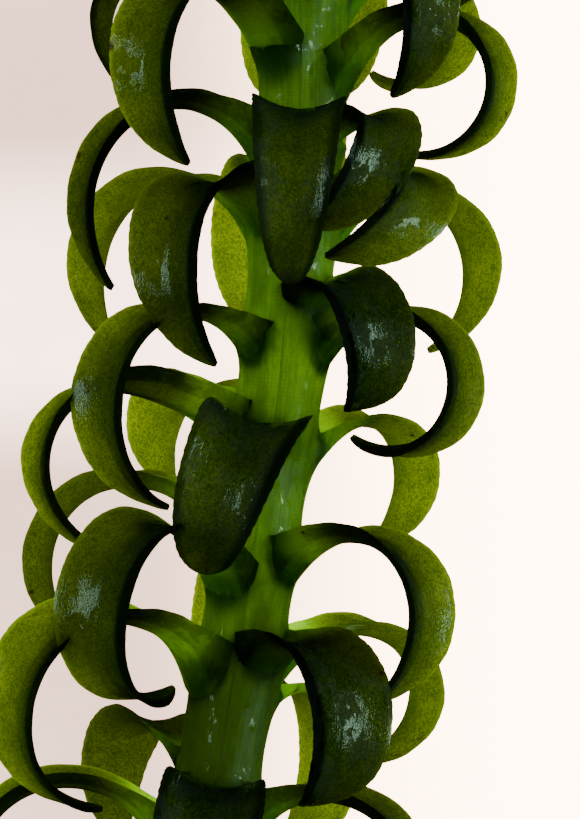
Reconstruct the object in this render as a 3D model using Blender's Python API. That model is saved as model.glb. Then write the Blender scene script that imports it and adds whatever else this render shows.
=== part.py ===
"""A sprig of curly waterweed lying on its back leaves: one stem, its hooped leaves and its bud.

The stem lies along Y with the growing end towards +Y, and Z is up. The leaves grow from it in a
spiral. Each is a strap that leaves the stem, arches over and curls back, with a channel along its
outer side. The leaves under the stem are pressed flat where they touch the surface.
Lengths in the constants are millimetres, and the model is in metres.
"""

import math

import bpy
import numpy as np

MM = 0.001

# The stem
STEM_RADIUS = 1.40
STEM_TOP_RADIUS = 0.95
TAPER_FROM = 14.0
STEM_CUT_END = -24.2
STEM_GROWING_END = 25.6
STEM_SIDES = 16
STEM_RINGS = 30
AXIS_HEIGHT = 6.2
STEM_LINE = [
    # along the sprig, sideways
    (-24.4, -4.10),
    (-17.4, -3.13),
    (-13.7, -2.60),
    (-9.7, -1.97),
    (-6.4, -1.40),
    (-3.0, -0.93),
    (0.3, -0.37),
    (3.7, -0.07),
    (7.0, 0.20),
    (10.3, 0.37),
    (13.7, 0.43),
    (18.7, 0.73),
    (23.7, 1.00),
    (28.0, 1.07),
]

# The bud at the growing end
BUD_LENGTH = 3.2
BUD_RADIUS = 1.05
BUD_SIDES = 12
BUD_RINGS = 8

# What every leaf shares
LEAF_THICKNESS = 0.24
LEAF_CUP = 45.0
LEAF_CUP_LOSS = 0.35
LEAF_BASE_WIDTH = 0.74
LEAF_WIDEST = 0.42
LEAF_TIP_POWER = 2.3
TAPER_NEAR = 0.2
TAPER_RUN = 0.7
LEAF_STRAIGHT = 0.15
LEAF_EASE = 0.40
LEAF_STEM_GAP = 0.04
LEAF_STEPS = 120
LEAF_STATIONS = (0, 10, 22, 34, 47, 60, 73, 86, 99, 112)
ACROSS_OUTER = (-1.0, -0.5, 0.0, 0.5, 1.0)
ACROSS_INNER = (0.55, 0.0, -0.55)
PRESSED_THICKNESS = 0.12


def leaf(along, around, rise, curl, length, width, **more):
    """One leaf: where it grows, how it curls and its size.

    along is its place on the stem and around its bearing in degrees, 0 straight up and 90 to the
    right. rise is the angle at which it leaves the stem and curl the turn from base to tip. near
    and far make a leaf broader or narrower towards its base and towards its tip.
    """
    values = dict(lean=0.0, roll=0.0, unroll=0.0, ease=LEAF_EASE, power=1.0, straight=LEAF_STRAIGHT)
    values.update(near=1.0, far=1.0)
    values.update(along=along, around=around, rise=rise, curl=curl, length=length, width=width)
    values.update(more)
    return values


# From the growing end down to the cut end
LEAVES = [
    leaf(24.6, 20, 66, 70, 4.6, 1.5),
    leaf(24.2, 158, 64, 75, 4.8, 1.5),
    leaf(23.8, -84, 62, 80, 5.0, 1.6),
    leaf(22.9, 75, 54, 105, 6.0, 1.8),
    leaf(22.3, -140, 52, 110, 6.2, 1.8),
    leaf(21.6, -20, 50, 120, 6.6, 1.9),
    leaf(20.8, 125, 44, 135, 7.2, 2.1),
    leaf(20.1, -80, 40, 145, 7.6, 2.2),
    leaf(19.3, 45, 38, 155, 8.0, 2.3),
    leaf(18.6, -172, 30, 150, 8.4, 2.4),
    leaf(17.9, -35, 30, 170, 8.8, 2.5),
    leaf(17.2, 95, 28, 175, 9.4, 2.6),
    leaf(16.4, -115, 25, 170, 9.6, 2.6),
    leaf(15.6, 165, 12, 150, 9.6, 2.6),
    leaf(15.15, 33, 15, 172, 10.8, 2.4, lean=-7),
    leaf(14.32, -95, 15, 190, 10.6, 2.8),
    leaf(13.98, 114, 20, 225, 9.2, 2.8),
    leaf(13.4, -168, 20, 140, 6.4, 2.2),
    leaf(11.98, -38, 32, 185, 12.4, 2.8),
    leaf(11.52, 68, 31, 216, 11.1, 2.8),
    leaf(10.5, 178, 5, 150, 10.3, 2.8),
    leaf(9.32, -70, 12, 140, 10.9, 2.8, ease=0.1, power=0.75, straight=0.22),
    leaf(9.25, -1, 10, 180, 11.3, 2.85, near=1.14, far=0.66),
    leaf(8.72, 28, 26, 198, 9.4, 2.4, lean=30, roll=55, unroll=-75, far=0.88),
    leaf(7.98, -166, 5, 150, 9.5, 2.8),
    leaf(7.14, 42, 30, 200, 9.4, 2.6, lean=45, roll=66, unroll=-90, far=0.90),
    leaf(6.75, -35, 10, 165, 11.3, 3.7, lean=-8, far=0.62),
    leaf(6.58, -118, 18, 150, 11.0, 2.8),
    leaf(6.52, 116, 22, 168, 10.2, 2.8),
    leaf(3.92, 29, 10, 178, 8.2, 2.75, lean=-12),
    leaf(3.4, 139, 5, 140, 5.8, 2.5),
    leaf(2.72, 64, 15, 220, 11.1, 2.8),
    leaf(2.5, -46, 8, 172, 12.9, 2.7, ease=0.6, near=0.86),
    leaf(-0.05, -136, 8, 165, 7.5, 3.7, straight=0.27, far=0.6),
    leaf(-0.65, -62, 9, 168, 12.4, 2.6, roll=30, unroll=-36, ease=0.8, straight=0.22),
    leaf(-0.84, -9, 8, 170, 9.8, 3.2, lean=9, roll=14, unroll=-28, near=1.12, far=0.82),
    leaf(-0.88, 126, 28, 168, 8.2, 2.85, near=0.93),
    leaf(-1.0, 179, 5, 150, 8.8, 2.65),
    leaf(-3.68, -106, 15, 165, 11.2, 2.8),
    leaf(-4.50, 56, 18, 162, 10.1, 2.8, far=1.1),
    leaf(-5.50, -35, 24, 226, 14.5, 3.2, near=0.95, far=0.92),
    leaf(-5.52, -175, 2, 150, 9.6, 2.8),
    leaf(-7.68, 34, 10, 170, 9.9, 3.2, lean=-8),
    leaf(-7.68, 110, 20, 188, 9.9, 2.9, straight=0.20),
    leaf(-8.26, -53, 14, 192, 14.4, 3.6, ease=0.6, far=0.75),
    leaf(-9.35, 148, 5, 150, 10.5, 2.8),
    leaf(-11.95, -152, 12, 150, 9.8, 3.0, straight=0.32),
    leaf(-12.65, -1, 8, 180, 11.0, 3.4),
    leaf(-12.85, 72, 15, 150, 10.6, 2.8),
    leaf(-14.0, -84, 20, 170, 11.6, 3.0),
    leaf(-15.2, 150, 5, 150, 10.0, 2.8),
    leaf(-16.2, -150, 5, 150, 10.0, 2.8),
    leaf(-17.0, 30, 10, 175, 10.4, 2.9),
    leaf(-17.8, 100, 15, 165, 10.4, 2.8),
    leaf(-18.2, -60, 12, 175, 10.8, 2.9),
]


def stem_sideways(along):
    """How far the stem's centre line lies to the side, as a smooth curve through STEM_LINE."""
    places = np.array([place for place, _ in STEM_LINE])
    sides = np.array([side for _, side in STEM_LINE])
    slopes = np.gradient(sides, places)
    i = int(np.clip(np.searchsorted(places, along) - 1, 0, len(places) - 2))
    step = places[i + 1] - places[i]
    t = (along - places[i]) / step
    return (
        (2 * t**3 - 3 * t**2 + 1) * sides[i]
        + (t**3 - 2 * t**2 + t) * step * slopes[i]
        + (3 * t**2 - 2 * t**3) * sides[i + 1]
        + (t**3 - t**2) * step * slopes[i + 1]
    )


def stem_centre(along):
    return np.array([stem_sideways(along), along, 0.0])


def stem_direction(along):
    step = stem_centre(along + 0.5) - stem_centre(along - 0.5)
    return step / np.linalg.norm(step)


def stem_radius(along):
    """Full thickness up to TAPER_FROM, then thinner towards the growing end."""
    t = np.clip((along - TAPER_FROM) / (STEM_GROWING_END - TAPER_FROM), 0, 1)
    return STEM_RADIUS + (STEM_TOP_RADIUS - STEM_RADIUS) * t


def unit_rows(rows):
    return rows / np.linalg.norm(rows, axis=1)[:, None]


def leaf_turn(shape, u):
    """The share of the curl that a leaf has made at u, from 0 at its base to 1 at its tip."""
    c = np.clip((u - shape["straight"]) / (1 - shape["straight"]), 0, 1)
    return shape["ease"] * c * c * (3 - 2 * c) + (1 - shape["ease"]) * c ** shape["power"]


def leaf_frame(shape):
    """Centre line of a leaf, with its outward normal and its width direction at each step."""
    axis = stem_direction(shape["along"])
    up = np.array([0.0, 0.0, 1.0])
    right = np.cross(axis, up)
    bearing = math.radians(shape["around"])
    outward = math.cos(bearing) * up + math.sin(bearing) * right
    beside = math.cos(bearing) * right - math.sin(bearing) * up
    lean = math.radians(shape["lean"])
    climb = math.cos(lean) * axis + math.sin(lean) * beside
    across = math.cos(lean) * beside - math.sin(lean) * axis

    u = np.linspace(0, 1, LEAF_STEPS + 1)
    angle = np.radians(shape["rise"] - shape["curl"] * leaf_turn(shape, u))[:, None]
    heading = np.cos(angle) * outward + np.sin(angle) * climb
    steps = (heading[1:] + heading[:-1]) / 2 * shape["length"] / LEAF_STEPS
    start = stem_centre(shape["along"]) + outward * stem_radius(shape["along"])
    line = np.vstack([start, start + np.cumsum(steps, axis=0)])

    tangent = unit_rows(np.gradient(line, axis=0))
    width_way = unit_rows(across - (tangent @ across)[:, None] * tangent)
    normal = np.cross(width_way, tangent)
    outside = -np.sin(angle) * outward + np.cos(angle) * climb
    normal *= np.sign((normal * outside).sum(axis=1))[:, None]
    roll = np.radians(shape["roll"] + shape["unroll"] * u)[:, None]
    rolled_width = np.cos(roll) * width_way + np.sin(roll) * normal
    rolled_normal = np.cos(roll) * normal - np.sin(roll) * width_way
    return u, line, rolled_normal, rolled_width


def leaf_width(shape, u):
    """Width of a leaf at u: a broad base, widest before the middle, then a rounded point."""
    base = LEAF_BASE_WIDTH + (1 - LEAF_BASE_WIDTH) * np.sin(min(u / LEAF_WIDEST, 1) * math.pi / 2)
    past = max(u - LEAF_WIDEST, 0) / (1 - LEAF_WIDEST)
    share = shape["near"] + (shape["far"] - shape["near"]) * np.clip((u - TAPER_NEAR) / TAPER_RUN, 0, 1)
    return shape["width"] * share * base * math.sqrt(max(1 - past**LEAF_TIP_POWER, 0))


def channel_point(centre, normal, width_way, width, cup, v, offset):
    """A point of a leaf's channel: v runs from -1 to 1 across, and offset is out from the middle."""
    radius = width / 2 / math.sin(cup)
    sideways = (radius - offset) * math.sin(v * cup)
    lift = radius - (radius - offset) * math.cos(v * cup)
    return centre + sideways * width_way + lift * normal


def on_stem(point, along):
    """The point moved in or out until it is just clear of the stem's surface."""
    axis = stem_direction(along)
    from_stem = point - stem_centre(along)
    height = (from_stem @ axis) * axis
    away = from_stem - height
    away *= (stem_radius(along) + LEAF_STEM_GAP) / np.linalg.norm(away)
    return stem_centre(along) + height + away


def leaf_mesh(shape):
    """Rings of five outer and three inner points along a leaf, closed by a cap and a tip."""
    u, line, normal, width_way = leaf_frame(shape)
    points = []
    for step in LEAF_STATIONS:
        width = leaf_width(shape, u[step])
        cup = math.radians(LEAF_CUP) * (1 - LEAF_CUP_LOSS * u[step])
        ring = [(v, 0.0, 0.0) for v in ACROSS_OUTER]
        ring[1:4] = [(v, LEAF_THICKNESS / 2, 0.0) for v in ACROSS_OUTER[1:4]]
        ring += [(v, -LEAF_THICKNESS / 2, PRESSED_THICKNESS) for v in ACROSS_INNER]
        for v, offset, rest_gap in ring:
            point = channel_point(line[step], normal[step], width_way[step], width, cup, v, offset)
            if step == 0:
                point = on_stem(point, shape["along"])
            point[2] = max(point[2], rest_gap - AXIS_HEIGHT)
            points.append(point)
    points.append(line[-1])
    points[-1][2] = max(points[-1][2], PRESSED_THICKNESS / 2 - AXIS_HEIGHT)

    size = len(ACROSS_OUTER) + len(ACROSS_INNER)
    faces = [(0, 1, 7), (1, 2, 6, 7), (2, 3, 5, 6), (3, 4, 5)]
    for ring in range(len(LEAF_STATIONS) - 1):
        for i in range(size):
            a = ring * size + i
            b = ring * size + (i + 1) % size
            faces.append((b, a, a + size, b + size))
    last = (len(LEAF_STATIONS) - 1) * size
    tip = len(points) - 1
    for i in range(size):
        faces.append((last + (i + 1) % size, last + i, tip))
    return points, faces


def turned_mesh(rings, sides):
    """A closed solid from circles given as (along, radius), the last one closed by a point."""
    points = []
    for along, radius in rings:
        centre = stem_centre(along)
        axis = stem_direction(along)
        up = np.array([0.0, 0.0, 1.0])
        right = np.cross(axis, up)
        for i in range(sides):
            angle = 2 * math.pi * i / sides
            points.append(centre + radius * (math.cos(angle) * up + math.sin(angle) * right))
    faces = [tuple(range(sides - 1, -1, -1))]
    for ring in range(len(rings) - 1):
        for i in range(sides):
            a = ring * sides + i
            b = ring * sides + (i + 1) % sides
            faces.append((a, b, b + sides, a + sides))
    last = (len(rings) - 1) * sides
    faces.append(tuple(range(last, last + sides)))
    return points, faces


def stem_mesh():
    """The stem, cut square at its lower end."""
    places = np.linspace(STEM_CUT_END, STEM_GROWING_END, STEM_RINGS)
    return turned_mesh([(place, stem_radius(place)) for place in places], STEM_SIDES)


def bud_mesh():
    """The bud of young leaves that close over the growing end."""
    start = STEM_GROWING_END + LEAF_STEM_GAP
    rings = []
    for i in range(BUD_RINGS):
        t = i / BUD_RINGS
        radius = BUD_RADIUS * math.sqrt(1 - t**2) * (1 - 0.25 * t)
        rings.append((start + t * BUD_LENGTH, radius))
    return turned_mesh(rings, BUD_SIDES)


def plain_material(name, color, roughness):
    material = bpy.data.materials.new(name)
    material.use_nodes = True
    shader = material.node_tree.nodes["Principled BSDF"]
    shader.inputs["Base Color"].default_value = (*color, 1)
    shader.inputs["Roughness"].default_value = roughness
    return material


def add_object(name, points, faces, material):
    mesh = bpy.data.meshes.new(name)
    mesh.from_pydata([tuple(point * MM) for point in points], [], faces)
    mesh.materials.append(material)
    mesh.update()
    made = bpy.data.objects.new(name, mesh)
    bpy.context.scene.collection.objects.link(made)
    return made


def move_to_origin(meshes):
    """The sprig's box stands on Z = 0 with its middle at X = Y = 0."""
    every = np.vstack([np.array(points) for points, _ in meshes.values()])
    low = every.min(axis=0)
    high = every.max(axis=0)
    shift = np.array([-(low[0] + high[0]) / 2, -(low[1] + high[1]) / 2, -low[2]])
    for points, _ in meshes.values():
        points[:] = [point + shift for point in points]


def main():
    for existing in list(bpy.data.objects):
        bpy.data.objects.remove(existing, do_unlink=True)
    meshes = {"stem": stem_mesh(), "bud": bud_mesh()}
    for number, shape in enumerate(LEAVES, start=1):
        meshes[f"leaf_{number:02d}"] = leaf_mesh(shape)
    move_to_origin(meshes)
    stem_green = plain_material("stem_green", (0.10, 0.26, 0.03), 0.35)
    leaf_green = plain_material("leaf_green", (0.06, 0.13, 0.02), 0.40)
    for name, (points, faces) in meshes.items():
        add_object(name, points, faces, stem_green if name == "stem" else leaf_green)


main()
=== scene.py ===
"""The looks of a sprig of curly waterweed that lies on a pale light table, seen from straight above.

Each leaf, the stem and the bud get a fine mesh in the place of their plain solid. The leaves follow
the same curves as the solids, with a thin toothed margin, a middle vein and a base that flares into
the stem. Lengths in the constants are millimetres, and angles degrees, unless a name says otherwise.
"""

import math
from types import SimpleNamespace

import bpy
import numpy as np
from mathutils import Matrix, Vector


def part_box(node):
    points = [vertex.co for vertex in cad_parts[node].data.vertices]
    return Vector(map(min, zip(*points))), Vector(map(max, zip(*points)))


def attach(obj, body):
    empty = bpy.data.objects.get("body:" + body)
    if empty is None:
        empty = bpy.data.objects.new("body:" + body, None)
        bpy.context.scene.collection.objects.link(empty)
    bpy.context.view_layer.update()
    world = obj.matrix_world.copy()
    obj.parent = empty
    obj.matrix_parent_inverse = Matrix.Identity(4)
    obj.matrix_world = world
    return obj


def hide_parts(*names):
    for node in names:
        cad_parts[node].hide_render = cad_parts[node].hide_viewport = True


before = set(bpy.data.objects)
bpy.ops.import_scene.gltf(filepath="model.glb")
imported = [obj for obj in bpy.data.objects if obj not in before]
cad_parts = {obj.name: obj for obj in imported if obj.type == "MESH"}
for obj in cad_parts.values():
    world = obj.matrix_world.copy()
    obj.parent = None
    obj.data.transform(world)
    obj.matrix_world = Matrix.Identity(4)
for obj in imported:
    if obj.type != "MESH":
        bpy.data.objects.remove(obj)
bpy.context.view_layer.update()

MM = 0.001
SEED = 7
UP = np.array([0.0, 0.0, 1.0])

# The stem
STEM_RADIUS = 1.40
STEM_TOP_RADIUS = 0.95
TAPER_FROM = 14.0
STEM_CUT_END = -24.2
STEM_GROWING_END = 25.6
STEM_SOLID_SIDES = 16
STEM_LINE = [
    # along the sprig, sideways
    (-24.4, -4.10),
    (-17.4, -3.13),
    (-13.7, -2.60),
    (-9.7, -1.97),
    (-6.4, -1.40),
    (-3.0, -0.93),
    (0.3, -0.37),
    (3.7, -0.07),
    (7.0, 0.20),
    (10.3, 0.37),
    (13.7, 0.43),
    (18.7, 0.73),
    (23.7, 1.00),
    (28.0, 1.07),
]
STEM_SIDES = 120
STEM_RINGS = 640
STEM_TIP = 0.3
RIDGE_HEIGHT = 0.17
RIDGE_HALF_ANGLE = 30.0
RIDGE_LENGTH = 3.4
RIDGE_START = 0.35
RIDGE_FADE = 1.3
FILLET_HEIGHT = 0.50
FILLET_ABOVE = 0.35
FILLET_BELOW = 0.75
FILLET_FADE = 1.4
FILLET_HALF_ANGLE = 40.0
NODE_SWELL = 0.05
NODE_SWELL_REACH = 0.8
NODE_SWELL_RADIANS = 0.9
NODE_SHADE_REACH = 0.75
NODE_SHADE_BELOW = 0.2
NODE_SHADE_RADIANS = 0.85
STEM_WAVE = 0.025
STEM_WAVE_RADIANS_PER_MM = (1.7, 0.6)
STEM_OLD_BELOW = -6.5
STEM_OLDEST_BELOW = -10.5
CUT_RINGS = 26
CUT_HOLLOW = 0.10
CANAL_DEPTH = 0.22
CANAL_MOUTH = 1.4
CANAL_RINGS = [
    # share of the stem's radius, number of air canals, canal radius
    (0.66, 13, 0.115),
    (0.40, 7, 0.085),
]

# The bud
BUD_SCALES = 9
BUD_SCALE_TURN = 137.5
BUD_SCALE_STRAIGHT = 0.05
BUD_FIRST_NUMBER = 100
# past the growing end, rise, curl, length, width
BUD_FIRST_SCALE = np.array([-0.35, 66.0, -74.0, 3.0, 1.5])
BUD_LAST_SCALE = np.array([0.20, 76.0, -48.0, 2.7, 1.0])

# What every leaf shares
LEAF_THICKNESS = 0.24
LEAF_CUP = 45.0
LEAF_CUP_LOSS = 0.35
LEAF_BASE_WIDTH = 0.74
LEAF_WIDEST = 0.42
LEAF_TIP_POWER = 2.6
LEAF_TIP_SHARPNESS = 0.72
TAPER_NEAR = 0.2
TAPER_RUN = 0.7
LEAF_STRAIGHT = 0.15
LEAF_EASE = 0.40
LEAF_STEPS = 120
LEAF_ACROSS = 20
LEAF_CROWDING = 0.35
LEAF_PROFILE_POWER = 2.5
LEAF_SINK = 0.10
LEAF_USUAL_WIDTH = 2.8
TOOTH_SPACING = 0.36
TOOTH_HEIGHT = 0.03
TOOTH_RISE = 0.7
TOOTH_OFFSET = 0.4
TOOTH_POWER = 12
MARGIN_WAVE = 0.02
MARGIN_WAVE_POWER = 3
MARGIN_WAVE_RATES = (0.5, 0.8)
MARGIN_BASE_FADE = 0.15
MARGIN_TIP_FADE = 0.1
VEIN_DEPTH = 0.035
VEIN_HALF_WIDTH = 0.09
VEIN_INNER_SHARE = 0.6
SHADE_FROM = -1.0
SHADE_FULL = 2.0
MARGIN_SHADE = 0.55
FLARE_DEPTH = 1.5
FLARE_REACH = 2.6
FLARE_POWER = 3.0
FLARE_EDGE_LOSS = 0.6
FLARE_LEAST = 0.15
REST_GAP = 0.12
YOUNG_BELOW = 8.5
YOUNG_RANGE = 4.5

# Each leaf has its own patch of the plane that the textures are laid out on
PATCHES_ACROSS = 8
PATCH_WIDTH = 4.0
PATCH_LENGTH = 16.0

# Edges sharper than this are not smoothed over
SHARP_ANGLE = 55.0

# Relief that is too fine for the meshes
CELL_RELIEF = 0.003
GRAIN_RELIEF = 0.020
VEIN_RELIEF = 0.012
ROW_RELIEF = 0.012
FILM_RELIEF = 0.10
PITH_RELIEF = 0.05

# Colours as linear red, green and blue: what a surface reflects
OUTER_DEEP = (0.0035, 0.0095, 0.0012)
OUTER_FRESH = (0.0080, 0.0200, 0.0020)
INNER_DEEP = (0.0018, 0.0060, 0.0010)
INNER_FRESH = (0.0040, 0.0110, 0.0012)
LEAF_SPECK = (0.044, 0.082, 0.008)
LEAF_YOUNG = (0.045, 0.125, 0.012)
# A leaf's paler base, partly painted light that brightens it where the stem shades it
LEAF_ROOT_AND_PAINTED_LIGHT = (0.085, 0.210, 0.010)
LEAF_BROWN = (0.020, 0.010, 0.004)
# Painted shade, darkest on a leaf's upper margin and where it stands upright
LEAF_SHADE = (0.0030, 0.0060, 0.0030)
# A painted highlight: silvery streaks where a leaf's base bends
LEAF_PAINTED_GLINT = (0.50, 0.58, 0.46)
STEM_DEEP = (0.015, 0.045, 0.002)
STEM_FRESH = (0.032, 0.080, 0.004)
STEM_ROW = (0.048, 0.110, 0.008)
STEM_WALL = (0.060, 0.130, 0.012)
# Painted shade on the stem round the foot of each leaf
STEM_NODE_SHADE = (0.008, 0.024, 0.001)
PITH_DEEP = (0.30, 0.36, 0.12)
PITH_PALE = (0.46, 0.50, 0.22)
PITH_RIM = (0.08, 0.16, 0.015)
# Painted shade in the air canals of the cut face
PITH_CANAL_SHADE = (0.02, 0.035, 0.008)

# The light that shines through a surface
GLOW_DEEP = (0.32, 0.400, 0.030)
GLOW_FRESH = (0.46, 0.540, 0.045)
GLOW_SPECK = (0.13, 0.20, 0.006)
GLOW_EDGE = (0.48, 0.60, 0.03)
GLOW_ROOT = (0.52, 0.80, 0.04)
GLOW_BROWN = (0.14, 0.08, 0.02)
GLOW_SHADE = (0.03, 0.05, 0.02)
STEM_GLOW_DEEP = (0.25, 0.40, 0.012)
STEM_GLOW_FRESH = (0.36, 0.55, 0.022)
STEM_GLOW_ROW = (0.45, 0.66, 0.04)
STEM_GLOW_SPECK = (0.15, 0.30, 0.01)
STEM_GLOW_WALL = (0.62, 0.85, 0.08)
STEM_GLOW_DIM = (0.17, 0.24, 0.012)
STEM_GLOW_OLD = (0.13, 0.17, 0.009)
STEM_GLOW_DOT = (0.05, 0.09, 0.01)
# Painted shade in the light through the stem round the foot of each leaf
STEM_GLOW_NODE_SHADE = (0.14, 0.29, 0.01)
PITH_GLOW = (0.55, 0.75, 0.20)
PITH_GLOW_CANAL_SHADE = (0.05, 0.10, 0.02)

# How rough, how shiny and how translucent the surfaces are
DRY_ROUGHNESS = 0.80
OUTER_WET_ROUGHNESS = 0.15
INNER_WET_ROUGHNESS = 0.50
OUTER_SPECULAR = 0.5
INNER_SPECULAR = 0.05
STEM_DRY_ROUGHNESS = 0.65
STEM_WET_ROUGHNESS = 0.10
STEM_SPECULAR = 0.75
STEM_TRANSLUCENCE = 0.70
PITH_ROUGHNESS = 0.35
PITH_TRANSLUCENCE = 0.35

# The floor
FLOOR_HALF_SIZE = 400.0
FLOOR_GREY = (0.25, 0.24, 0.23)
FLOOR_ROUGHNESS = 0.9
FLOOR_BRIGHTNESS = 13.0
# The floor's glow is painted light: dimmer on the left, with patches and a brighter band, and dimmer far
# out
FLOOR_LEFT = (0.185, 0.108, 0.088)
FLOOR_LEFT_BAND = (0.50, 0.34, 0.28)
FLOOR_CLOUD = (0.24, 0.18, 0.13)
FLOOR_RIGHT = (1.25, 0.82, 0.55)
FLOOR_FAR = (0.60, 0.48, 0.40)
FLOOR_BAND_ALONG = 3.6
FLOOR_BAND_REACH = (1.5, 6.5)
FLOOR_LEFT_TO_RIGHT = (-6.0, 9.0)
FLOOR_NEAR_TO_FAR = (16.0, 40.0)

# The lights, in metres and watts
LIGHT_AIM_METRES = (0.0, 0.0, 0.006)
TABLE_COLOR = (1.0, 1.0, 1.0)
SOFTBOX_COLOR = (0.60, 1.0, 0.76)
ROOM_COLOR = (1.0, 0.96, 0.92)
ROOM_BRIGHTNESS = 3.0

# The view, straight down: the photograph's height, and its scale where the stem lies
PHOTO_HEIGHT_PX = 819
PX_PER_MM = 30.0
CAMERA_HEIGHT = 130.0
CAMERA_CLIP_METRES = 0.01
SENSOR_MM = 36.0


def leaf(along, around, rise, curl, length, width, **more):
    """One leaf, shaped as in the solid model, in millimetres and degrees.

    along and around say where it grows, rise how steeply it starts and curl how far it bends back.
    lean tips it to one side, and roll and unroll twist it. ease, power and straight say where it
    bends, and near and far how wide its two halves are. tone sets the light that it lets through,
    from -1 for little to 1 for much, and is drawn at random for a grown leaf without one.
    """
    values = dict(lean=0.0, roll=0.0, unroll=0.0, ease=LEAF_EASE, power=1.0, straight=LEAF_STRAIGHT)
    values.update(near=1.0, far=1.0, tone=None)
    values.update(along=along, around=around, rise=rise, curl=curl, length=length, width=width)
    values.update(more)
    return values


# From the growing end down to the cut end: along, around, rise, curl, length, width
LEAVES = [
    leaf(24.6, 20, 66, 70, 4.6, 1.5),
    leaf(24.2, 158, 64, 75, 4.8, 1.5),
    leaf(23.8, -84, 62, 80, 5.0, 1.6),
    leaf(22.9, 75, 54, 105, 6.0, 1.8),
    leaf(22.3, -140, 52, 110, 6.2, 1.8),
    leaf(21.6, -20, 50, 120, 6.6, 1.9),
    leaf(20.8, 125, 44, 135, 7.2, 2.1),
    leaf(20.1, -80, 40, 145, 7.6, 2.2),
    leaf(19.3, 45, 38, 155, 8.0, 2.3),
    leaf(18.6, -172, 30, 150, 8.4, 2.4),
    leaf(17.9, -35, 30, 170, 8.8, 2.5),
    leaf(17.2, 95, 28, 175, 9.4, 2.6),
    leaf(16.4, -115, 25, 170, 9.6, 2.6),
    leaf(15.6, 165, 12, 150, 9.6, 2.6),
    leaf(15.15, 33, 15, 172, 10.8, 2.4, lean=-7),
    leaf(14.32, -95, 15, 190, 10.6, 2.8),
    leaf(13.98, 114, 20, 225, 9.2, 2.8),
    leaf(13.4, -168, 20, 140, 6.4, 2.2),
    leaf(11.98, -38, 32, 185, 12.4, 2.8),
    leaf(11.52, 68, 31, 216, 11.1, 2.8),
    leaf(10.5, 178, 5, 150, 10.3, 2.8),
    leaf(9.32, -70, 12, 140, 10.9, 2.8, ease=0.1, power=0.75, straight=0.22),
    leaf(9.25, -1, 10, 180, 11.3, 2.85, near=1.14, far=0.66),
    leaf(8.72, 28, 26, 198, 9.4, 2.4, lean=30, roll=55, unroll=-75, far=0.88),
    leaf(7.98, -166, 5, 150, 9.5, 2.8),
    leaf(7.14, 42, 30, 200, 9.4, 2.6, lean=45, roll=66, unroll=-90, far=0.90),
    leaf(6.75, -35, 10, 165, 11.3, 3.7, lean=-8, far=0.62),
    leaf(6.58, -118, 18, 150, 11.0, 2.8),
    leaf(6.52, 116, 22, 168, 10.2, 2.8),
    # The given tones darken two leaves that lie over the stem, as painted shade, and one that lies under it
    leaf(3.92, 29, 10, 178, 8.2, 2.75, lean=-12, tone=-0.45),
    leaf(3.4, 139, 5, 140, 5.8, 2.5),
    leaf(2.72, 64, 15, 220, 11.1, 2.8),
    leaf(2.5, -46, 8, 172, 12.9, 2.7, ease=0.6, near=0.86),
    leaf(-0.05, -136, 8, 165, 7.5, 3.7, straight=0.27, far=0.6),
    leaf(-0.65, -62, 9, 168, 12.4, 2.6, roll=30, unroll=-36, ease=0.8, straight=0.22),
    leaf(-0.84, -9, 8, 170, 9.8, 3.2, lean=9, roll=14, unroll=-28, near=1.12, far=0.82),
    leaf(-0.88, 126, 28, 168, 8.2, 2.85, near=0.93),
    leaf(-1.0, 179, 5, 150, 8.8, 2.65),
    leaf(-3.68, -106, 15, 165, 11.2, 2.8),
    leaf(-4.50, 56, 18, 162, 10.1, 2.8, far=1.1),
    leaf(-5.50, -35, 24, 226, 14.5, 3.2, near=0.95, far=0.92),
    leaf(-5.52, -175, 2, 150, 9.6, 2.8),
    leaf(-7.68, 34, 10, 170, 9.9, 3.2, lean=-8, tone=-0.35),
    leaf(-7.68, 110, 20, 188, 9.9, 2.9, straight=0.20),
    leaf(-8.26, -53, 14, 192, 14.4, 3.6, ease=0.6, far=0.75),
    leaf(-9.35, 148, 5, 150, 10.5, 2.8),
    leaf(-11.95, -152, 12, 150, 9.8, 3.0, straight=0.32, tone=-0.35),
    leaf(-12.65, -1, 8, 180, 11.0, 3.4),
    leaf(-12.85, 72, 15, 150, 10.6, 2.8),
    leaf(-14.0, -84, 20, 170, 11.6, 3.0),
    leaf(-15.2, 150, 5, 150, 10.0, 2.8),
    leaf(-16.2, -150, 5, 150, 10.0, 2.8),
    leaf(-17.0, 30, 10, 175, 10.4, 2.9),
    leaf(-17.8, 100, 15, 165, 10.4, 2.8),
    leaf(-18.2, -60, 12, 175, 10.8, 2.9),
]


# The stem's line, and where things sit on it


def stem_sideways(along):
    """How far the stem's centre line lies to the side, as a smooth curve through STEM_LINE."""
    places = np.array([place for place, _ in STEM_LINE])
    sides = np.array([side for _, side in STEM_LINE])
    slopes = np.gradient(sides, places)
    i = np.clip(np.searchsorted(places, along) - 1, 0, len(places) - 2)
    step = places[i + 1] - places[i]
    t = (along - places[i]) / step
    return (
        (2 * t**3 - 3 * t**2 + 1) * sides[i]
        + (t**3 - 2 * t**2 + t) * step * slopes[i]
        + (3 * t**2 - 2 * t**3) * sides[i + 1]
        + (t**3 - t**2) * step * slopes[i + 1]
    )


def stem_centre(along):
    return np.stack([stem_sideways(along), along, np.zeros_like(along)], axis=-1)


def unit(vectors):
    return vectors / np.linalg.norm(vectors, axis=-1, keepdims=True)


def stem_direction(along):
    return unit(stem_centre(along + 0.5) - stem_centre(along - 0.5))


def stem_radius(along):
    """Full thickness up to TAPER_FROM, then thinner towards the growing end."""
    t = np.clip((along - TAPER_FROM) / (STEM_GROWING_END - TAPER_FROM), 0, 1)
    return STEM_RADIUS + (STEM_TOP_RADIUS - STEM_RADIUS) * t


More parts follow.
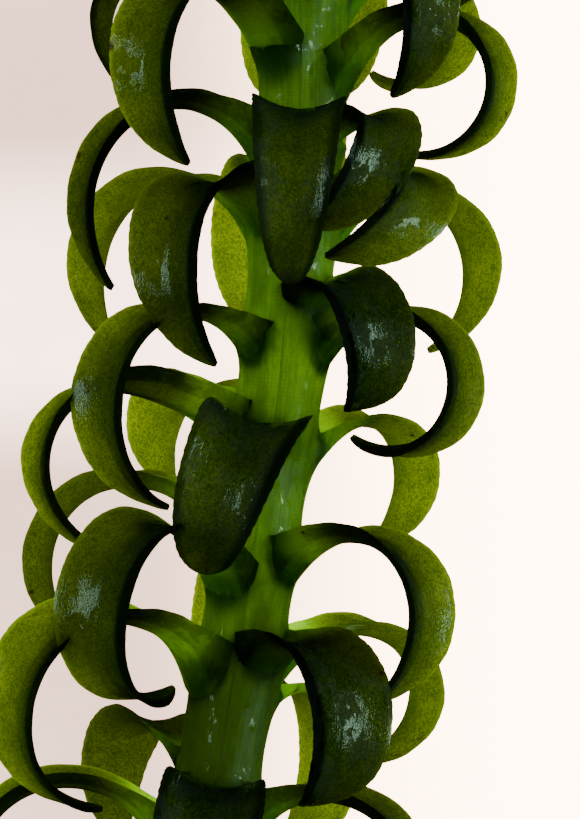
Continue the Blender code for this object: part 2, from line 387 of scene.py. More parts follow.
def stem_points(along, angle, radius):
    """Points at these bearings round the stem: 0 is straight up and a quarter turn is to the right."""
    axis = stem_direction(along)
    right = np.cross(axis, UP)
    spoke = np.cos(angle)[..., None] * UP + np.sin(angle)[..., None] * right
    return stem_centre(along) + spoke * np.asarray(radius)[..., None]


def design_to_frame():
    """The move in millimetres that lays this script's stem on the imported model's stem."""
    angles = 2 * math.pi * np.arange(STEM_SOLID_SIDES) / STEM_SOLID_SIDES
    along = np.full(STEM_SOLID_SIDES, STEM_CUT_END)
    ring = stem_points(along, angles, stem_radius(along))
    return np.array(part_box("stem")[0]) / MM - ring.min(axis=0)


SHIFT = design_to_frame()
FLOOR = -SHIFT[2]


def smooth_step(t):
    t = np.clip(t, 0, 1)
    return t * t * (3 - 2 * t)


# Meshes


def make_piece(name, surface, materials):
    """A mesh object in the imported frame, with its texture coordinates and its colour marks."""
    points, faces, face_materials, corner_uv, marks = surface
    mesh = bpy.data.meshes.new(name)
    mesh.from_pydata(((points + SHIFT) * MM).tolist(), [], faces)
    for material in materials:
        mesh.materials.append(material)
    mesh.polygons.foreach_set("material_index", np.asarray(face_materials, dtype=np.int32))
    corners = np.empty(len(mesh.loops), dtype=np.int32)
    mesh.loops.foreach_get("vertex_index", corners)
    layer = mesh.uv_layers.new(name="Surface")
    layer.data.foreach_set("uv", corner_uv[corners].astype(np.float32).ravel())
    attribute = mesh.attributes.new("marks", "FLOAT_COLOR", "POINT")
    attribute.data.foreach_set("color", marks.astype(np.float32).ravel())
    mesh.shade_smooth()
    mesh.set_sharp_from_angle(angle=math.radians(SHARP_ANGLE))
    mesh.update()
    made = bpy.data.objects.new(name, mesh)
    bpy.context.scene.collection.objects.link(made)
    return made


def leaf_turn(shape, u):
    """The share of the curl that a leaf has made at u, from 0 at its base to 1 at its tip."""
    c = np.clip((u - shape["straight"]) / (1 - shape["straight"]), 0, 1)
    return shape["ease"] * c * c * (3 - 2 * c) + (1 - shape["ease"]) * c ** shape["power"]


def leaf_frame(shape):
    """Centre line of a leaf, with its outward normal and its width direction at each step."""
    along = np.array(float(shape["along"]))
    axis = stem_direction(along)
    right = np.cross(axis, UP)
    bearing = math.radians(shape["around"])
    outward = math.cos(bearing) * UP + math.sin(bearing) * right
    beside = math.cos(bearing) * right - math.sin(bearing) * UP
    lean = math.radians(shape["lean"])
    climb = math.cos(lean) * axis + math.sin(lean) * beside
    across = math.cos(lean) * beside - math.sin(lean) * axis

    u = np.linspace(0, 1, LEAF_STEPS + 1)
    angle = np.radians(shape["rise"] - shape["curl"] * leaf_turn(shape, u))[:, None]
    heading = np.cos(angle) * outward + np.sin(angle) * climb
    steps = (heading[1:] + heading[:-1]) / 2 * shape["length"] / LEAF_STEPS
    start = stem_centre(along) + outward * stem_radius(along)
    line = np.vstack([start, start + np.cumsum(steps, axis=0)])

    tangent = unit(np.gradient(line, axis=0))
    width_way = unit(across - (tangent @ across)[:, None] * tangent)
    normal = np.cross(width_way, tangent)
    outside = -np.sin(angle) * outward + np.cos(angle) * climb
    normal *= np.sign((normal * outside).sum(axis=1))[:, None]
    roll = np.radians(shape["roll"] + shape["unroll"] * u)[:, None]
    rolled_width = np.cos(roll) * width_way + np.sin(roll) * normal
    rolled_normal = np.cos(roll) * normal - np.sin(roll) * width_way
    return u, line, rolled_normal, rolled_width, climb


def leaf_width(shape, u):
    """Width of a leaf at u: a broad base, widest before the middle, then a rounded point."""
    base = LEAF_BASE_WIDTH + (1 - LEAF_BASE_WIDTH) * np.sin(np.minimum(u / LEAF_WIDEST, 1) * math.pi / 2)
    past = np.maximum(u - LEAF_WIDEST, 0) / (1 - LEAF_WIDEST)
    share = shape["near"] + (shape["far"] - shape["near"]) * np.clip((u - TAPER_NEAR) / TAPER_RUN, 0, 1)
    return shape["width"] * share * base * np.maximum(1 - past**LEAF_TIP_POWER, 0) ** LEAF_TIP_SHARPNESS


def teeth(distance, phase):
    """Small teeth along a margin that lean towards the tip, from 0 to 1."""
    t = (distance / TOOTH_SPACING + phase) % 1.0
    return np.where(t < TOOTH_RISE, t / TOOTH_RISE, (1 - t) / (1 - TOOTH_RISE))


def blade_sheet(shape, side, v, chance):
    """One face of a leaf as a grid of points: side is 1 for the outer face and -1 for the inner."""
    u, line, normal, width_way, climb = leaf_frame(shape)
    width = leaf_width(shape, u)[:, None]
    cup = np.radians(LEAF_CUP) * (1 - LEAF_CUP_LOSS * u)[:, None]
    distance = (u * shape["length"])[:, None]
    profile = np.sqrt(np.maximum(1 - np.abs(v) ** LEAF_PROFILE_POWER, 0))
    offset = side * LEAF_THICKNESS / 2 * profile * np.ones_like(width)
    groove = VEIN_DEPTH * np.exp(-((v * width / 2 / VEIN_HALF_WIDTH) ** 2))
    offset += -groove if side > 0 else -groove * VEIN_INNER_SHARE

    radius = width / 2 / np.sin(cup)
    sideways = (radius - offset) * np.sin(v * cup)
    lift = radius - (radius - offset) * np.cos(v * cup)
    first_phase = chance.uniform(0, 1)
    second_phase = chance.uniform(0, 1)
    rate = chance.uniform(*MARGIN_WAVE_RATES)
    wave = np.sin(2 * math.pi * (distance * rate / 2 + first_phase + 0.5 * (v > 0)))
    wave += 0.5 * np.sin(2 * math.pi * (distance * rate * 1.3 + second_phase))
    fade = smooth_step(u / MARGIN_BASE_FADE)[:, None] * smooth_step((1 - u) / MARGIN_TIP_FADE)[:, None]
    lift += MARGIN_WAVE * wave * np.abs(v) ** MARGIN_WAVE_POWER * fade
    tooth = TOOTH_HEIGHT * teeth(distance, TOOTH_OFFSET * (v > 0)) * np.abs(v) ** TOOTH_POWER * fade
    sideways += tooth * np.sign(v)

    points = line[:, None] + sideways[..., None] * width_way[:, None] + lift[..., None] * normal[:, None]
    if side < 0:
        drop = FLARE_DEPTH * np.clip(1 - distance / FLARE_REACH, 0, 1) ** FLARE_POWER
        drop = drop * (1 - FLARE_EDGE_LOSS * v**2) * shape["width"] / LEAF_USUAL_WIDTH
        drop *= FLARE_LEAST + (1 - FLARE_LEAST) * abs(math.sin(math.radians(shape["around"])))
        points = points - drop[..., None] * climb
    return u, points


def sink_base(points, shape):
    """Moves a leaf's first points in or out until they lie just under the stem's surface."""
    along = np.array(float(shape["along"]))
    axis = stem_direction(along)
    from_stem = points - stem_centre(along)
    height = (from_stem @ axis)[:, None] * axis
    away = unit(from_stem - height) * (stem_radius(along) - LEAF_SINK)
    return stem_centre(along) + height + away


def leaf_surface(shape, number):
    """Points, faces and marks of one leaf: its two faces joined at the margins and at the tip."""
    chance = np.random.default_rng(SEED * 1000 + number)
    state = chance.bit_generator.state
    outer_v = np.linspace(-1, 1, LEAF_ACROSS + 1)
    outer_v = np.sin(outer_v * math.pi / 2) * LEAF_CROWDING + outer_v * (1 - LEAF_CROWDING)
    u, outer = blade_sheet(shape, 1, outer_v[None], chance)
    chance.bit_generator.state = state
    inner_v = outer_v[-2:0:-1]
    _, inner = blade_sheet(shape, -1, inner_v[None], chance)
    outer[0] = sink_base(outer[0], shape)
    inner[0] = sink_base(inner[0], shape)
    outer[..., 2] = np.maximum(outer[..., 2], FLOOR)
    inner[..., 2] = np.maximum(inner[..., 2], FLOOR + REST_GAP * np.sqrt(1 - inner_v**2))

    rings = np.concatenate([outer[:-1], inner[:-1]], axis=1)
    count, size = rings.shape[:2]
    tip = outer[-1].mean(axis=0)
    points = np.vstack([rings.reshape(-1, 3), tip])
    v = np.concatenate([outer_v, inner_v])
    width = leaf_width(shape, u[:-1])[:, None]
    across_mm = np.broadcast_to(v * width / 2, (count, size))
    along_mm = np.broadcast_to((u[:-1] * shape["length"])[:, None], (count, size))
    patch = np.array([PATCH_WIDTH * (number % PATCHES_ACROSS), PATCH_LENGTH * (number // PATCHES_ACROSS)])
    uv = np.stack([across_mm, along_mm], axis=-1).reshape(-1, 2) + patch
    uv = np.vstack([uv, patch + [0.0, shape["length"]]])
    youth = np.clip((YOUNG_BELOW - shape["length"]) / YOUNG_RANGE, 0, 1)
    tint = 1 + youth if youth > 0 else chance.uniform(0, 1)
    if shape["tone"] is not None:
        tint = shape["tone"]
    marks = np.empty((count, size, 4))
    marks[..., 0] = u[:-1, None]
    marks[..., 1] = np.abs(v)
    marks[..., 2] = tint
    # The fourth mark says where a leaf gets painted shade: more the higher it lies over the floor, most at
    # its upper margin
    height = smooth_step((rings[..., 2] - SHADE_FROM) / (SHADE_FULL - SHADE_FROM))
    slope = unit(outer[:-1, -1] - outer[:-1, 0])[:, 2:]
    marks[..., 3] = height * np.clip(MARGIN_SHADE + slope * v, 0, 1)
    marks = np.vstack([marks.reshape(-1, 4), [1.0, 0.0, tint, height[-1, 0]]])

    faces = [list(range(size))]
    sides = [0]
    for ring in range(count - 1):
        for i in range(size):
            a = ring * size + i
            b = ring * size + (i + 1) % size
            faces.append([b, a, a + size, b + size])
            sides.append(0 if i < LEAF_ACROSS else 1)
    last = (count - 1) * size
    for i in range(size):
        faces.append([last + (i + 1) % size, last + i, len(points) - 1])
        sides.append(0 if i < LEAF_ACROSS else 1)
    return points, faces, sides, uv, marks


def turn_from(angle, shape):
    """How far a bearing on the stem is from a leaf's, in radians, the shorter way round."""
    return (angle - math.radians(shape["around"]) + math.pi) % (2 * math.pi) - math.pi


def stem_relief(along, angle):
    """How far the stem's surface stands out: ridges that run down from each leaf, and swollen nodes."""
    relief = np.zeros_like(along)
    for shape in LEAVES:
        turn = turn_from(angle, shape)
        below = shape["along"] - along
        ridge = np.exp(-((turn / math.radians(RIDGE_HALF_ANGLE)) ** 2))
        run = smooth_step(below / RIDGE_START + 1) * np.clip(1 - below / RIDGE_LENGTH, 0, 1) ** RIDGE_FADE
        relief += RIDGE_HEIGHT * ridge * run
        swell = np.exp(-((turn / NODE_SWELL_RADIANS) ** 2) - (below / NODE_SWELL_REACH) ** 2)
        relief += NODE_SWELL * swell
        reach = np.where(below < 0, -below / FILLET_ABOVE, below / FILLET_BELOW)
        fillet = np.exp(-((turn / math.radians(FILLET_HALF_ANGLE)) ** 4) - reach**FILLET_FADE)
        relief += FILLET_HEIGHT * fillet
    first_rate, second_rate = STEM_WAVE_RADIANS_PER_MM
    wave = np.sin(along * first_rate + 2 * np.sin(angle)) * np.cos(2 * angle + along * second_rate)
    relief += STEM_WAVE * wave
    return relief * stem_radius(along) / STEM_RADIUS


def canals(place_x, place_y):
    """How deep each point of the cut face lies in an air canal, from 0 to 1."""
    canal = np.zeros_like(place_x)
    for ring_share, number, canal_radius in CANAL_RINGS:
        for k in range(number):
            turn = 2 * math.pi * (k + 0.5 * ring_share) / number
            reach = np.hypot(
                place_x - ring_share * STEM_RADIUS * math.cos(turn),
                place_y - ring_share * STEM_RADIUS * math.sin(turn),
            )
            canal = np.maximum(canal, smooth_step(CANAL_MOUTH - reach / canal_radius))
    return canal


def node_shade(along, angle):
    """How near each point of the stem's skin is to the foot of a leaf, from 0 to 1."""
    near = np.zeros_like(along)
    for shape in LEAVES:
        turn = turn_from(angle, shape) / NODE_SHADE_RADIANS
        gap = (along - shape["along"] + NODE_SHADE_BELOW) / NODE_SHADE_REACH
        near = np.maximum(near, np.exp(-(turn**2) - gap**2))
    return near


def stem_surface():
    """The stem's skin, its cut face with open air canals, and a closed growing end."""
    along = np.linspace(STEM_CUT_END, STEM_GROWING_END, STEM_RINGS)[:, None]
    angle = (2 * math.pi * np.arange(STEM_SIDES) / STEM_SIDES)[None]
    along, angle = np.broadcast_arrays(along, angle)
    radius = stem_radius(along) + stem_relief(along, angle)
    skin = stem_points(along, angle, radius)

    share = np.linspace(0, 1, CUT_RINGS + 1)[1:-1, None]
    reach = share * radius[:1]
    place_x = reach * np.cos(angle[0])
    place_y = reach * np.sin(angle[0])
    canal = canals(place_x, place_y)
    hollow = CUT_HOLLOW * (1 - share**2) * np.ones_like(reach)
    axis = stem_direction(np.array(STEM_CUT_END))
    cut = np.full(reach.shape, STEM_CUT_END)
    disc = stem_points(cut, np.broadcast_to(angle[:1], reach.shape), reach)
    disc = disc + (hollow + CANAL_DEPTH * canal)[..., None] * axis

    rings = np.concatenate([disc, skin])
    count = len(rings)
    middle = stem_centre(np.array(STEM_CUT_END)) + CUT_HOLLOW * axis
    end = stem_centre(np.array(STEM_GROWING_END + STEM_TIP))
    points = np.vstack([rings.reshape(-1, 3), middle, end])
    cut_uv = np.stack([place_x, place_y], axis=-1)
    skin_uv = np.stack([angle * STEM_RADIUS, along], axis=-1)
    uv = np.vstack([np.concatenate([cut_uv, skin_uv]).reshape(-1, 2), [0, 0], [0, STEM_GROWING_END]])
    marks = np.zeros((count, STEM_SIDES, 4))
    marks[: len(disc), :, 0] = canal
    # The second mark says where the stem gets painted shade, round the foot of each leaf
    marks[len(disc) :, :, 1] = node_shade(along, angle)
    marks[..., 3] = 1.0
    marks = np.vstack([marks.reshape(-1, 4), [0, 0, 0, 1], [0, 0, 0, 1]])

    faces = []
    kinds = []
    for ring in range(count - 1):
        for i in range(STEM_SIDES):
            a = ring * STEM_SIDES + i
            b = ring * STEM_SIDES + (i + 1) % STEM_SIDES
            faces.append([a, b, b + STEM_SIDES, a + STEM_SIDES])
            kinds.append(1 if ring < len(disc) else 0)
    last = (count - 1) * STEM_SIDES
    for i in range(STEM_SIDES):
        faces.append([(i + 1) % STEM_SIDES, i, len(points) - 2])
        kinds.append(1)
        faces.append([last + i, last + (i + 1) % STEM_SIDES, len(points) - 1])
        kinds.append(0)
    return points, faces, kinds, uv, marks


def bud_surface():
    """Young leaves that close over the growing end, as one piece."""
    every_points, every_faces, every_sides, every_uv, every_marks = [], [], [], [], []
    start = 0
    for i in range(BUD_SCALES):
        share = i / (BUD_SCALES - 1)
        scale = BUD_FIRST_SCALE + share * (BUD_LAST_SCALE - BUD_FIRST_SCALE)
        place = STEM_GROWING_END + scale[0]
        shape = leaf(place, BUD_SCALE_TURN * i, *scale[1:], straight=BUD_SCALE_STRAIGHT)
        points, faces, sides, uv, marks = leaf_surface(shape, BUD_FIRST_NUMBER + i)
        every_points.append(points)
        every_faces += [[index + start for index in face] for face in faces]
        every_sides += sides
        every_uv.append(uv)
        every_marks.append(marks)
        start += len(points)
    return np.vstack(every_points), every_faces, every_sides, np.vstack(every_uv), np.vstack(every_marks)


# Materials


def opaque(color):
    return (*color, 1.0)


class Nodes:
    """Short ways to add and join the nodes of one material."""

    def __init__(self, name):
        self.material = bpy.data.materials.new(name)
        self.material.use_nodes = True
        self.tree = self.material.node_tree
        self.shader = self.tree.nodes["Principled BSDF"]
        self.output = self.tree.nodes["Material Output"]

    def add(self, kind, values=None, **settings):
        node = self.tree.nodes.new(kind)
        for key, value in settings.items():
            setattr(node, key, value)
        for key, value in (values or {}).items():
            self.put(node.inputs[key], value)
        return node

    def put(self, socket, value):
        """Joins a socket to another one, or gives it a fixed number, vector or colour."""
        if isinstance(value, bpy.types.NodeSocket):
            self.tree.links.new(value, socket)
        elif socket.type == "RGBA":
            socket.default_value = opaque(value)
        else:
            socket.default_value = value

    def math(self, operation, first, second=0.0):
        node = self.add("ShaderNodeMath", {0: first, 1: second}, operation=operation)
        return node.outputs[0]

    def times(self, first, second):
        return self.math("MULTIPLY", first, second)

    def larger(self, first, second):
        return self.math("MAXIMUM", first, second)

    def spread(self, value, low, high, to_low=0.0, to_high=1.0):
        """The value's range low to high, mapped smoothly to to_low to to_high."""
        values = {"Value": value, "From Min": low, "From Max": high, "To Min": to_low, "To Max": to_high}
        return self.add("ShaderNodeMapRange", values, interpolation_type="SMOOTHSTEP").outputs[0]

    def mix(self, share, first, second, blend="MIX"):
        node = self.add("ShaderNodeMix", data_type="RGBA", blend_type=blend)
        self.put(node.inputs[0], share)
        self.put(node.inputs[6], first)
        self.put(node.inputs[7], second)
        return node.outputs[2]

    def surface_mm(self, scale_x, scale_y):
        """Texture coordinates along the surface in millimetres, stretched by these scales."""
        uv = self.add("ShaderNodeUVMap", uv_map="Surface").outputs[0]
        scale = (scale_x, scale_y, 1.0)
        return self.add("ShaderNodeVectorMath", {0: uv, 1: scale}, operation="MULTIPLY").outputs[0]

    def noise(self, vector, scale, detail=2.0, roughness=0.5):
        values = {"Vector": vector, "Scale": scale, "Detail": detail, "Roughness": roughness}
        return self.add("ShaderNodeTexNoise", values).outputs["Fac"]

    def cells(self, vector, scale):
        return self.add("ShaderNodeTexVoronoi", {"Vector": vector, "Scale": scale})

    def chance(self, cell):
        """A number from 0 to 1 that is drawn at random for each cell."""
        return self.add("ShaderNodeSeparateColor", {"Color": cell.outputs["Color"]}).outputs[0]

    def cell_walls(self):
        """Faint lengthwise lines and cross walls between the stem's cells, broken up by noise."""
        bend = self.noise(self.surface_mm(1.0, 1.0), 1.6, 1.0)
        shift = self.add("ShaderNodeCombineXYZ", {"X": self.times(bend, 0.25)}).outputs[0]
        place = self.add("ShaderNodeVectorMath", {0: self.surface_mm(1.0, 1.0), 1: shift}).outputs[0]
        values = {"Vector": place, "Scale": 1.0, "Mortar Size": 0.016, "Mortar Smooth": 0.8}
        values.update({"Brick Width": 0.11, "Row Height": 0.13})
        wall = self.add("ShaderNodeTexBrick", values, offset=0.0).outputs["Fac"]
        return self.times(wall, self.spread(bend, 0.42, 0.62, 0.0, 0.45))

    def dots(self, per_mm, radius):
        """Small round spots in about a third of the cells of a coarse grid."""
        cell = self.cells(self.surface_mm(per_mm, per_mm), 1.0)
        spot = self.spread(cell.outputs["Distance"], radius * 0.6, radius, 1.0, 0.0)
        return self.times(spot, self.math("GREATER_THAN", self.chance(cell), 0.68))

    def marks(self):
        """The four marks on the mesh as separate values."""
        source = self.add("ShaderNodeAttribute", attribute_name="marks").outputs
        return [*self.add("ShaderNodeSeparateColor", {"Color": source["Color"]}).outputs, source["Alpha"]]

    def level(self):
        """How level the surface lies: 1 where it faces straight up or down and 0 where it is upright."""
        normal = self.add("ShaderNodeNewGeometry").outputs["Normal"]
        return self.math("ABSOLUTE", self.add("ShaderNodeSeparateXYZ", {"Vector": normal}).outputs[2])

    def bump(self, height, strength, distance, normal=None):
        values = {"Height": height, "Strength": strength, "Distance": distance}
        if normal is not None:
            values["Normal"] = normal
        return self.add("ShaderNodeBump", values).outputs[0]

    def translucent(self, color, share, normal):
        """Mixes light that passes through with the surface's own look."""
        through = self.add("ShaderNodeBsdfTranslucent", {"Color": color, "Normal": normal})
        blend = self.add("ShaderNodeMixShader")
        self.put(blend.inputs[0], share)
        self.tree.links.new(self.shader.outputs[0], blend.inputs[1])
        self.tree.links.new(through.outputs[0], blend.inputs[2])
        self.tree.links.new(blend.outputs[0], self.output.inputs["Surface"])


def leaf_patterns(n, inner):
    """Where each tone of a leaf lies, from its marks and from noise, mostly as shares from 0 to 1."""
    along, edge, tint, upper = n.marks()
    cell = n.cells(n.surface_mm(27.0, 18.0), 1.0)
    blotch = n.noise(n.surface_mm(1.0, 0.6), 1.1, 4.0, 0.6)
    film = n.noise(n.surface_mm(1.2, 0.7), 1.0, 4.0, 0.62)
    spots = n.noise(n.surface_mm(4.5, 3.2), 1.0, 2.0, 0.5)
    scars = n.times(n.spread(edge, 0.55, 1.0), n.spread(blotch, 0.62, 0.72))
    # streaks and bend place a painted silvery highlight where the base bends
    streaks = n.spread(n.noise(n.surface_mm(9.0, 0.7), 1.0, 3.0, 0.6), 0.58, 0.66)
    bend = n.times(n.spread(along, 0.03, 0.12), n.spread(along, 0.22, 0.38, 1.0, 0.0))
    # rim and steep are painted shade: a dark band on the upper margin, and darkening where the leaf stands
    # upright high over the floor
    inset = n.math("ADD", edge, n.times(upper, 0.60))
    rim = n.times(n.spread(inset, 0.98, 1.26, 0.0, 0.95), n.spread(upper, 0.0, 0.7))
    past_root = n.spread(along, 0.10, 0.34)
    steep = n.times(n.spread(n.level(), 0.12, 0.62, 1.0, 0.0), n.spread(upper, 0.12, 0.42))
    steep = n.times(steep, n.spread(past_root, 0.0, 1.0, 0.25, 1.0))
    # painted shade on the light that shines through: the upper margin, the steep parts and, on the inner
    # face, the part high over the floor
    painted_shade = n.larger(n.times(rim, n.spread(past_root, 0.0, 1.0, 0.55, 1.0)), n.times(steep, 0.9))
    if inner:
        painted_shade = n.larger(painted_shade, n.times(past_root, n.times(upper, 0.65)))
    young = n.spread(tint, 1.0, 2.0)
    return SimpleNamespace(
        edge=edge,
        tint=tint,
        blotch=blotch,
        distance=cell.outputs["Distance"],
        speck=n.chance(cell),
        wet=n.larger(n.spread(film, 0.48, 0.52), n.spread(spots, 0.63, 0.66)),
        root=n.spread(along, 0.06, 0.26, 1.0, 0.0),
        brown=n.larger(scars, n.dots(1.1, 0.10)),
        painted_glint=n.times(streaks, n.times(bend, n.spread(edge, 0.4, 0.8))),
        rim=rim,
        steep=steep,
        young=young,
        painted_shade=n.times(painted_shade, n.spread(young, 0.0, 1.0, 1.0, 0.4)),
    )


def leaf_face(n, where, inner):
    """What a leaf reflects: dark green, paler cells, a paler base partly of painted light, brown scars,
    painted silvery highlights.

    It has painted shade, darkest at the upper margin and where it is steep.
    """
    deep = INNER_DEEP if inner else OUTER_DEEP
    fresh = INNER_FRESH if inner else OUTER_FRESH
    face = n.mix(n.spread(where.blotch, 0.35, 0.68), deep, fresh)
    face = n.mix(n.spread(where.speck, 0.62, 0.95, 0.0, 0.6), face, LEAF_SPECK)
    face = n.mix(n.times(where.young, 0.8), face, LEAF_YOUNG)
    # the paler base, partly painted light against the stem's shade
    face = n.mix(where.root, face, LEAF_ROOT_AND_PAINTED_LIGHT)
    face = n.mix(where.brown, face, LEAF_BROWN)
    # painted shade on the upper margin and the steep parts
    face = n.mix(n.larger(where.rim, n.times(where.steep, 0.7)), face, LEAF_SHADE)
    # painted highlight: silvery streaks where the base bends
    return n.mix(n.times(where.painted_glint, 0.7), face, LEAF_PAINTED_GLINT)


def leaf_glow(n, where):
    """What shines through a leaf: less where it is dry and in a dark leaf, and painted shade where it is
    steep, at its upper margin and high on the inner face.
    """
    glow = n.mix(n.spread(where.blotch, 0.30, 0.70), GLOW_DEEP, GLOW_FRESH)
    glow = n.mix(n.spread(where.speck, 0.1, 0.8, 0.8, 0.0), glow, GLOW_SPECK)
    glow = n.mix(n.spread(where.edge, 0.86, 1.0, 0.0, 0.7), glow, GLOW_EDGE)
    glow = n.mix(where.root, glow, GLOW_ROOT)
    glow = n.mix(where.brown, glow, GLOW_BROWN)
    # painted shade on the light that shines through
    glow = n.mix(where.painted_shade, glow, GLOW_SHADE)
    shade = n.times(n.spread(where.tint, 0.0, 1.0, 0.70, 1.10), n.spread(where.wet, 0.0, 1.0, 0.72, 1.0))
    shade = n.times(shade, n.spread(where.tint, -1.0, 0.0, 0.20, 1.0))
    shades = n.add("ShaderNodeCombineColor", {0: shade, 1: shade, 2: shade}).outputs[0]
    return n.mix(1.0, glow, shades, "MULTIPLY")


def leaf_material(name, inner):
    """One side of a wet leaf: small cells, faint veins and a patchy film of water."""
    n = Nodes(name)
    where = leaf_patterns(n, inner)
    n.put(n.shader.inputs["Base Color"], leaf_face(n, where, inner))
    grain = n.noise(n.surface_mm(5.0, 5.0), 1.6, 3.0, 0.65)
    normal = n.bump(n.times(where.distance, -1.0), 1.0, CELL_RELIEF * MM)
    normal = n.bump(grain, 1.0, GRAIN_RELIEF * MM, normal)
    normal = n.bump(n.noise(n.surface_mm(6.0, 0.7), 1.0, 2.0), 1.0, VEIN_RELIEF * MM, normal)
    n.put(n.shader.inputs["Normal"], normal)
    wet_roughness = INNER_WET_ROUGHNESS if inner else OUTER_WET_ROUGHNESS
    n.put(n.shader.inputs["Roughness"], n.spread(where.wet, 0.0, 1.0, DRY_ROUGHNESS, wet_roughness))
    n.shader.inputs["Specular IOR Level"].default_value = INNER_SPECULAR if inner else OUTER_SPECULAR
    share = n.larger(n.spread(where.wet, 0.0, 1.0, 0.70, 0.50), n.spread(where.root, 0.0, 1.0, 0.5, 0.65))
    # at the margin with painted shade the darkened glow takes over more of the surface
    n.translucent(leaf_glow(n, where), n.larger(share, n.times(where.rim, 0.95)), normal)
    return n.material


def stem_material():
    """Wet, light-filled stem: long cell rows, cross walls, painted shade round the foot of each leaf,
    streaks and a dim older part.
    """
    n = Nodes("stem_skin")
    # node is where the stem gets painted shade, round the foot of each leaf
    node = n.marks()[1]
    rows = n.noise(n.surface_mm(9.0, 0.35), 1.0, 3.0, 0.6)
    streak = n.spread(n.noise(n.surface_mm(2.6, 0.12), 1.0, 2.0, 0.5), 0.35, 0.65)
    cell = n.cells(n.surface_mm(11.0, 4.0), 1.0)
    walls = n.cell_walls()
    broad = n.noise(n.surface_mm(0.45, 0.28), 1.0, 2.0)
    along = n.add("ShaderNodeSeparateXYZ", {"Vector": n.surface_mm(1.0, 1.0)}).outputs[1]

    face = n.mix(streak, STEM_DEEP, STEM_FRESH)
    face = n.mix(n.spread(rows, 0.45, 0.75), face, STEM_ROW)
    face = n.mix(walls, face, STEM_WALL)
    face = n.mix(n.times(node, 0.4), face, STEM_NODE_SHADE)
    n.put(n.shader.inputs["Base Color"], face)

    glow = n.mix(streak, STEM_GLOW_DEEP, STEM_GLOW_FRESH)
    glow = n.mix(n.spread(rows, 0.40, 0.75), glow, STEM_GLOW_ROW)
    glow = n.mix(n.spread(n.chance(cell), 0.0, 0.8, 0.35, 0.0), glow, STEM_GLOW_SPECK)
    glow = n.mix(walls, glow, STEM_GLOW_WALL)
    glow = n.mix(n.spread(broad, 0.46, 0.62, 0.0, 0.75), glow, STEM_GLOW_DIM)
    glow = n.mix(n.spread(along, STEM_OLDEST_BELOW, STEM_OLD_BELOW, 0.80, 0.0), glow, STEM_GLOW_OLD)
    glow = n.mix(n.dots(0.8, 0.09), glow, STEM_GLOW_DOT)
    glow = n.mix(n.times(node, 0.4), glow, STEM_GLOW_NODE_SHADE)

    normal = n.bump(rows, 1.0, ROW_RELIEF * MM)
    normal = n.bump(n.times(cell.outputs["Distance"], -1.0), 1.0, CELL_RELIEF * MM, normal)
    normal = n.bump(n.noise(n.surface_mm(1.9, 1.1), 1.0, 1.0), 1.0, FILM_RELIEF * MM, normal)
    n.put(n.shader.inputs["Normal"], normal)
    film = n.noise(n.surface_mm(2.2, 1.8), 1.0, 3.0, 0.6)
    roughness = n.spread(film, 0.56, 0.58, STEM_DRY_ROUGHNESS, STEM_WET_ROUGHNESS)
    n.put(n.shader.inputs["Roughness"], roughness)
    n.shader.inputs["Specular IOR Level"].default_value = STEM_SPECULAR
    n.translucent(glow, STEM_TRANSLUCENCE, normal)
    return n.material


def cut_material():
    """The cut face: pale pith with a green rim, and air canals darkened with painted shade."""
    n = Nodes("stem_cut")
    canal = n.marks()[0]
    grain = n.noise(n.surface_mm(6.0, 6.0), 1.5, 3.0, 0.6)
    reach = n.add("ShaderNodeVectorMath", {0: n.surface_mm(1.0, 1.0)}, operation="LENGTH").outputs["Value"]
    face = n.mix(n.spread(grain, 0.3, 0.7), PITH_DEEP, PITH_PALE)
    face = n.mix(n.spread(reach, 1.05, 1.38), face, PITH_RIM)
    # painted shade in the air canals
    face = n.mix(canal, face, PITH_CANAL_SHADE)
    n.put(n.shader.inputs["Base Color"], face)
    normal = n.bump(grain, 0.5, PITH_RELIEF * MM)
    n.put(n.shader.inputs["Normal"], normal)
    n.shader.inputs["Roughness"].default_value = PITH_ROUGHNESS
    n.translucent(n.mix(canal, PITH_GLOW, PITH_GLOW_CANAL_SHADE), PITH_TRANSLUCENCE, normal)
    return n.material


def floor_material():
    """A pale surface whose glow is painted light: bright on the right, dimmer on the left with a brighter
    band across it.
    """
    n = Nodes("floor")
    place = n.add("ShaderNodeTexCoord").outputs["Object"]
    x, y, _ = n.add("ShaderNodeSeparateXYZ", {"Vector": place}).outputs
    cloud = n.noise(place, 160.0, 3.0, 0.5)
    from_band = n.math("ABSOLUTE", n.math("SUBTRACT", y, (SHIFT[1] + FLOOR_BAND_ALONG) * MM))
    band_inside, band_outside = FLOOR_BAND_REACH
    left = n.mix(n.spread(from_band, band_inside * MM, band_outside * MM), FLOOR_LEFT_BAND, FLOOR_LEFT)
    left = n.mix(n.spread(cloud, 0.35, 0.65, 0.0, 0.25), left, FLOOR_CLOUD)
    left_side, right_side = FLOOR_LEFT_TO_RIGHT
    share = n.spread(x, (SHIFT[0] + left_side) * MM, (SHIFT[0] + right_side) * MM)
    # painted light: the glow falls off to the left and far out
    color = n.mix(share, left, FLOOR_RIGHT)
    reach = n.add("ShaderNodeVectorMath", {0: place}, operation="LENGTH").outputs["Value"]
    near, far = FLOOR_NEAR_TO_FAR
    color = n.mix(n.spread(reach, near * MM, far * MM), color, FLOOR_FAR)
    n.put(n.shader.inputs["Base Color"], FLOOR_GREY)
    n.shader.inputs["Roughness"].default_value = FLOOR_ROUGHNESS
    n.put(n.shader.inputs["Emission Color"], color)
    n.shader.inputs["Emission Strength"].default_value = FLOOR_BRIGHTNESS
    return n.material


# The scene around the sprig


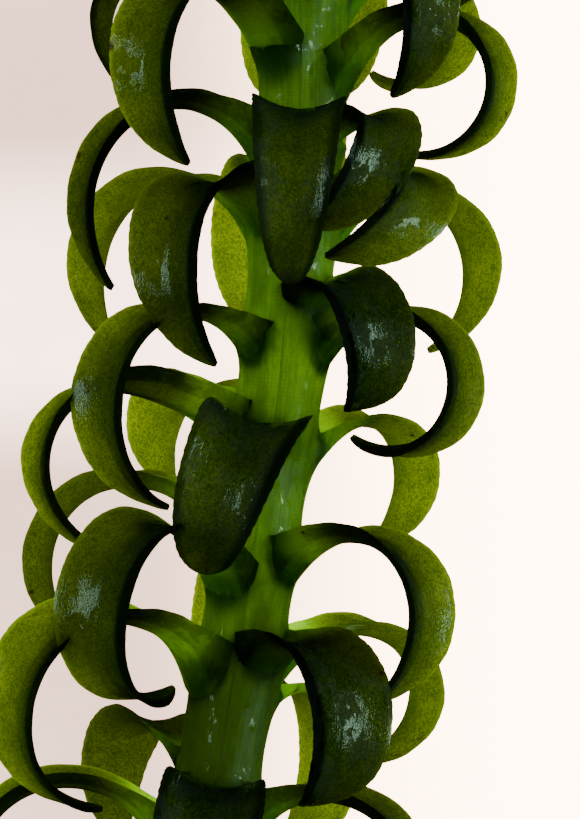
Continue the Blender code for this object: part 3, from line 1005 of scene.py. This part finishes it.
def make_floor():
    """A wide floor that only the camera sees: it lights nothing and isn't mirrored in the leaves."""
    size = FLOOR_HALF_SIZE * MM
    mesh = bpy.data.meshes.new("floor")
    corners = [(-size, -size, 0), (size, -size, 0), (size, size, 0), (-size, size, 0)]
    mesh.from_pydata(corners, [], [(0, 1, 2, 3)])
    mesh.materials.append(floor_material())
    floor = bpy.data.objects.new("floor", mesh)
    bpy.context.scene.collection.objects.link(floor)
    floor.visible_diffuse = False
    floor.visible_glossy = False
    floor.visible_transmission = False
    floor.visible_shadow = False


def area_light(name, size, place, power, color, glossy=True):
    """A soft light of this size and in this place, in metres, that faces the middle of the sprig."""
    light = bpy.data.lights.new(name, "AREA")
    light.shape = "RECTANGLE"
    light.size = size[0]
    light.size_y = size[1]
    light.energy = power
    light.color = color
    holder = bpy.data.objects.new(name, light)
    bpy.context.scene.collection.objects.link(holder)
    holder.visible_camera = False
    holder.visible_glossy = glossy
    back = unit(np.array(place) - np.array(LIGHT_AIM_METRES))
    side = unit(np.cross([0.0, 1.0, 0.0], back))
    long_way = np.cross(back, side)
    turn = Matrix(np.stack([side, long_way, back], axis=1).tolist())
    holder.matrix_world = Matrix.Translation(place) @ turn.to_4x4()


def make_lights():
    """The light table's glow from below, a softbox on each side, and a pale room that lights nothing."""
    area_light("table_glow", (0.15, 0.18), (0.0, 0.0, -0.15), 2.2, TABLE_COLOR, glossy=False)
    area_light("right_softbox", (0.13, 0.42), (0.37, 0.02, 0.22), 3.4, SOFTBOX_COLOR)
    area_light("left_softbox", (0.08, 0.32), (-0.32, 0.06, 0.29), 1.2, SOFTBOX_COLOR)
    world = bpy.data.worlds.new("room")
    world.use_nodes = True
    background = world.node_tree.nodes["Background"]
    background.inputs["Color"].default_value = opaque(ROOM_COLOR)
    background.inputs["Strength"].default_value = ROOM_BRIGHTNESS
    world.cycles_visibility.diffuse = False
    world.cycles_visibility.glossy = False
    world.cycles_visibility.transmission = False
    bpy.context.scene.world = world


def make_camera():
    """Straight above the photographed stretch, with the growing end at the top of the picture."""
    height = PHOTO_HEIGHT_PX / PX_PER_MM
    camera = bpy.data.cameras.new("camera")
    camera.sensor_width = SENSOR_MM
    camera.lens = SENSOR_MM * CAMERA_HEIGHT / height
    camera.clip_start = CAMERA_CLIP_METRES
    holder = bpy.data.objects.new("camera", camera)
    holder.location = (SHIFT[0] * MM, SHIFT[1] * MM, (SHIFT[2] + CAMERA_HEIGHT) * MM)
    bpy.context.scene.collection.objects.link(holder)
    bpy.context.scene.camera = holder


def main():
    leaf_skins = [leaf_material("leaf_outer", False), leaf_material("leaf_inner", True)]
    stem_skins = [stem_material(), cut_material()]
    pieces = {"stem": make_piece("stem_fine", stem_surface(), stem_skins)}
    pieces["bud"] = make_piece("bud_fine", bud_surface(), leaf_skins)
    for number, shape in enumerate(LEAVES, start=1):
        name = f"leaf_{number:02d}"
        pieces[name] = make_piece(name + "_fine", leaf_surface(shape, number), leaf_skins)
    for node, piece in pieces.items():
        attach(piece, "root")
        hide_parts(node)
    make_floor()
    make_lights()
    make_camera()


main()
